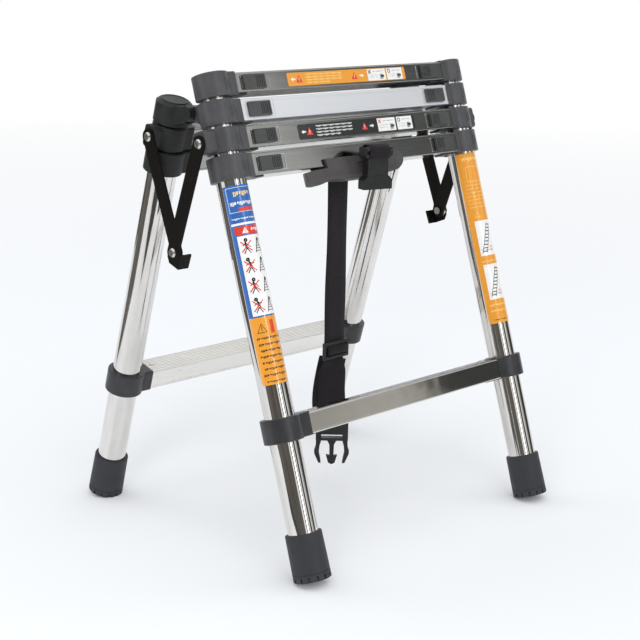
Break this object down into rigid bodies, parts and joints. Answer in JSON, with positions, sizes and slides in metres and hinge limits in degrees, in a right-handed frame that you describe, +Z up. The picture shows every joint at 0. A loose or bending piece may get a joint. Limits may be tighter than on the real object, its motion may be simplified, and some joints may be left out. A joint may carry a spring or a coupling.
{
  "type": "telescopic A-frame step ladder",
  "caption": "Telescopic stainless A-frame step ladder, retracted and standing open, with black collars, side spreaders, carry handle and a hanging buckle strap.",
  "frame": {"origin": "on the floor under the middle of the ladder's box", "axes": "+Z up, X along the rungs, front ladder with the carry handle on the -Y side"},
  "size_m": [0.513, 0.4579, 0.6009],
  "materials": {
    "polished_steel": "mirror-polished stainless tube",
    "brushed_steel": "fine brushed stainless rung",
    "satin_aluminium": "satin light rung",
    "collar_plastic": "dark grey satin moulded nylon",
    "latch_plastic": "black moulded plastic",
    "foot_rubber": "dark rubber",
    "black_steel": "black painted flat steel",
    "rivet_steel": "bright rivet",
    "handle_plastic": "soft dark grey moulded grip",
    "buckle_plastic": "black acetal",
    "webbing": "black ribbed webbing"
  },
  "bodies": {
    "front_base": {"front_tubes": "polished_steel", "front_foot_left": "foot_rubber", "front_foot_right": "foot_rubber", "front_low_rung": "brushed_steel", "front_low_collars": "collar_plastic", "f4_rung": "brushed_steel", "f4_collars": "collar_plastic", "carry_handle": "handle_plastic", "buckle_socket": "buckle_plastic"},
    "front_third": {"f3_tubes": "polished_steel", "f3_rung": "brushed_steel", "f3_collar_left": "collar_plastic", "f3_collar_right": "collar_plastic"},
    "front_second": {"f2_tubes": "polished_steel", "f2_rung": "satin_aluminium", "f2_collar_left": "collar_plastic", "f2_collar_right": "collar_plastic", "hinge_pins": "rivet_steel"},
    "front_top": {"f1_tubes": "polished_steel", "f1_rung": "brushed_steel", "f1_collar_left": "collar_plastic", "f1_collar_right": "collar_plastic"},
    "back_top": {"k1_tubes": "polished_steel", "k1_caps": "collar_plastic"},
    "back_middle": {"k2_tubes": "polished_steel", "k2_rung": "brushed_steel", "k2_collar_left": "collar_plastic", "k2_collar_right": "collar_plastic"},
    "back_base": {"back_tubes": "polished_steel", "back_foot_left": "foot_rubber", "back_foot_right": "foot_rubber", "back_low_rung": "brushed_steel", "back_low_collars": "collar_plastic", "k3_rung": "brushed_steel", "k3_collars": "collar_plastic"},
    "spreader_front_pivot_left": {"spreader_front_rivet_left": "rivet_steel"},
    "spreader_front_left": {"spreader_front_arm_left": "black_steel"},
    "spreader_middle_pivot_left": {"spreader_middle_rivet_left": "rivet_steel"},
    "spreader_rear_left": {"spreader_rear_arm_left": "black_steel", "spreader_rear_rivet_left": "rivet_steel"},
    "spreader_front_pivot_right": {"spreader_front_rivet_right": "rivet_steel"},
    "spreader_front_right": {"spreader_front_arm_right": "black_steel"},
    "spreader_middle_pivot_right": {"spreader_middle_rivet_right": "rivet_steel"},
    "spreader_rear_right": {"spreader_rear_arm_right": "black_steel", "spreader_rear_rivet_right": "rivet_steel"},
    "f4_latch_left": {"f4_latch_left": "latch_plastic"},
    "f4_latch_right": {"f4_latch_right": "latch_plastic"},
    "f3_latch_left": {"f3_latch_left": "latch_plastic"},
    "f3_latch_right": {"f3_latch_right": "latch_plastic"},
    "f2_latch_left": {"f2_latch_left": "latch_plastic"},
    "f2_latch_right": {"f2_latch_right": "latch_plastic"},
    "f1_latch_left": {"f1_latch_left": "latch_plastic"},
    "f1_latch_right": {"f1_latch_right": "latch_plastic"},
    "k2_latch_left": {"k2_latch_left": "latch_plastic"},
    "k2_latch_right": {"k2_latch_right": "latch_plastic"},
    "k3_latch_left": {"k3_latch_left": "latch_plastic"},
    "k3_latch_right": {"k3_latch_right": "latch_plastic"},
    "hanging_strap": {"strap": "webbing", "strap_adjuster": "buckle_plastic", "buckle_plug": "buckle_plastic"}
  },
  "joints": [
    {"name": "extend_front_third", "type": "slide", "parent": "front_base", "child": "front_third", "axis": [0, 0.313, 0.9498], "range_m": [0, 0.286]},
    {"name": "extend_front_second", "type": "slide", "parent": "front_third", "child": "front_second", "axis": [0, 0.313, 0.9498], "range_m": [0, 0.286]},
    {"name": "extend_front_top", "type": "slide", "parent": "front_second", "child": "front_top", "axis": [0, 0.313, 0.9498], "range_m": [0, 0.286]},
    {"name": "fold", "type": "hinge", "parent": "front_second", "child": "back_top", "pos_m": [0, 0.0142, 0.546], "axis": [1, 0, 0], "range_deg": [-33.87, 0]},
    {"name": "extend_back_middle", "type": "slide", "parent": "back_top", "child": "back_middle", "axis": [0, 0.2694, -0.963], "range_m": [0, 0.2822]},
    {"name": "extend_back_base", "type": "slide", "parent": "back_middle", "child": "back_base", "axis": [0, 0.2694, -0.963], "range_m": [0, 0.2822]},
    {"name": "spreader_front_fold_left", "type": "hinge", "parent": "front_third", "child": "spreader_front_pivot_left", "pos_m": [-0.25, -0.03836, 0.51657], "axis": [1, 0, 0], "range_deg": [-21.34, 0]},
    {"name": "spreader_front_open_left", "type": "hinge", "parent": "spreader_front_pivot_left", "child": "spreader_front_left", "pos_m": [-0.25, -0.03836, 0.51657], "axis": [1, 0, 0], "range_deg": [0, 46.21]},
    {"name": "spreader_middle_fold_left", "type": "hinge", "parent": "spreader_front_left", "child": "spreader_middle_pivot_left", "pos_m": [-0.25, 0.01032, 0.37787], "axis": [1, 0, 0], "range_deg": [0, 9.14]},
    {"name": "spreader_middle_open_left", "type": "hinge", "parent": "spreader_middle_pivot_left", "child": "spreader_rear_left", "pos_m": [-0.25, 0.01032, 0.37787], "axis": [1, 0, 0], "range_deg": [-90.95, 0]},
    {"name": "spreader_front_fold_right", "type": "hinge", "parent": "front_third", "child": "spreader_front_pivot_right", "pos_m": [0.25, -0.03836, 0.51657], "axis": [1, 0, 0], "range_deg": [-21.34, 0]},
    {"name": "spreader_front_open_right", "type": "hinge", "parent": "spreader_front_pivot_right", "child": "spreader_front_right", "pos_m": [0.25, -0.03836, 0.51657], "axis": [1, 0, 0], "range_deg": [0, 46.21]},
    {"name": "spreader_middle_fold_right", "type": "hinge", "parent": "spreader_front_right", "child": "spreader_middle_pivot_right", "pos_m": [0.25, 0.01032, 0.37787], "axis": [1, 0, 0], "range_deg": [0, 9.14]},
    {"name": "spreader_middle_open_right", "type": "hinge", "parent": "spreader_middle_pivot_right", "child": "spreader_rear_right", "pos_m": [0.25, 0.01032, 0.37787], "axis": [1, 0, 0], "range_deg": [-90.95, 0]},
    {"name": "press_f4_latch_left", "type": "slide", "parent": "front_base", "child": "f4_latch_left", "axis": [1, 0, 0], "range_m": [0, 0.007], "stiffness_N_per_m": 250, "springref_m": -0.004},
    {"name": "press_f4_latch_right", "type": "slide", "parent": "front_base", "child": "f4_latch_right", "axis": [-1, 0, 0], "range_m": [0, 0.007], "stiffness_N_per_m": 250, "springref_m": -0.004},
    {"name": "press_f3_latch_left", "type": "slide", "parent": "front_third", "child": "f3_latch_left", "axis": [1, 0, 0], "range_m": [0, 0.007], "stiffness_N_per_m": 250, "springref_m": -0.004},
    {"name": "press_f3_latch_right", "type": "slide", "parent": "front_third", "child": "f3_latch_right", "axis": [-1, 0, 0], "range_m": [0, 0.007], "stiffness_N_per_m": 250, "springref_m": -0.004},
    {"name": "press_f2_latch_left", "type": "slide", "parent": "front_second", "child": "f2_latch_left", "axis": [1, 0, 0], "range_m": [0, 0.007], "stiffness_N_per_m": 250, "springref_m": -0.004},
    {"name": "press_f2_latch_right", "type": "slide", "parent": "front_second", "child": "f2_latch_right", "axis": [-1, 0, 0], "range_m": [0, 0.007], "stiffness_N_per_m": 250, "springref_m": -0.004},
    {"name": "press_f1_latch_left", "type": "slide", "parent": "front_top", "child": "f1_latch_left", "axis": [1, 0, 0], "range_m": [0, 0.007], "stiffness_N_per_m": 250, "springref_m": -0.004},
    {"name": "press_f1_latch_right", "type": "slide", "parent": "front_top", "child": "f1_latch_right", "axis": [-1, 0, 0], "range_m": [0, 0.007], "stiffness_N_per_m": 250, "springref_m": -0.004},
    {"name": "press_k2_latch_left", "type": "slide", "parent": "back_middle", "child": "k2_latch_left", "axis": [1, 0, 0], "range_m": [0, 0.007], "stiffness_N_per_m": 250, "springref_m": -0.004},
    {"name": "press_k2_latch_right", "type": "slide", "parent": "back_middle", "child": "k2_latch_right", "axis": [-1, 0, 0], "range_m": [0, 0.007], "stiffness_N_per_m": 250, "springref_m": -0.004},
    {"name": "press_k3_latch_left", "type": "slide", "parent": "back_base", "child": "k3_latch_left", "axis": [1, 0, 0], "range_m": [0, 0.007], "stiffness_N_per_m": 250, "springref_m": -0.004},
    {"name": "press_k3_latch_right", "type": "slide", "parent": "back_base", "child": "k3_latch_right", "axis": [-1, 0, 0], "range_m": [0, 0.007], "stiffness_N_per_m": 250, "springref_m": -0.004},
    {"name": "strap_swing", "type": "hinge", "parent": "front_base", "child": "hanging_strap", "pos_m": [-0.012, -0.035, 0.46], "axis": [1, 0, 0], "range_deg": [-14.6, 0]}
  ],
  "couplings": [
    {"joint": "extend_back_middle", "follows": "extend_front_second", "ratio": 0.98622},
    {"joint": "spreader_front_fold_left", "follows": "fold", "ratio": 0.62972},
    {"joint": "spreader_front_open_left", "follows": "extend_front_second", "rad_per_m": 2.819},
    {"joint": "spreader_middle_fold_left", "follows": "fold", "ratio": -0.26955},
    {"joint": "spreader_middle_open_left", "follows": "extend_front_second", "rad_per_m": -5.5492},
    {"joint": "spreader_front_fold_right", "follows": "fold", "ratio": 0.62972},
    {"joint": "spreader_front_open_right", "follows": "extend_front_second", "rad_per_m": 2.819},
    {"joint": "spreader_middle_fold_right", "follows": "fold", "ratio": -0.26955},
    {"joint": "spreader_middle_open_right", "follows": "extend_front_second", "rad_per_m": -5.5492},
    {"joint": "strap_swing", "follows": "fold", "ratio": 0.428}
  ]
}
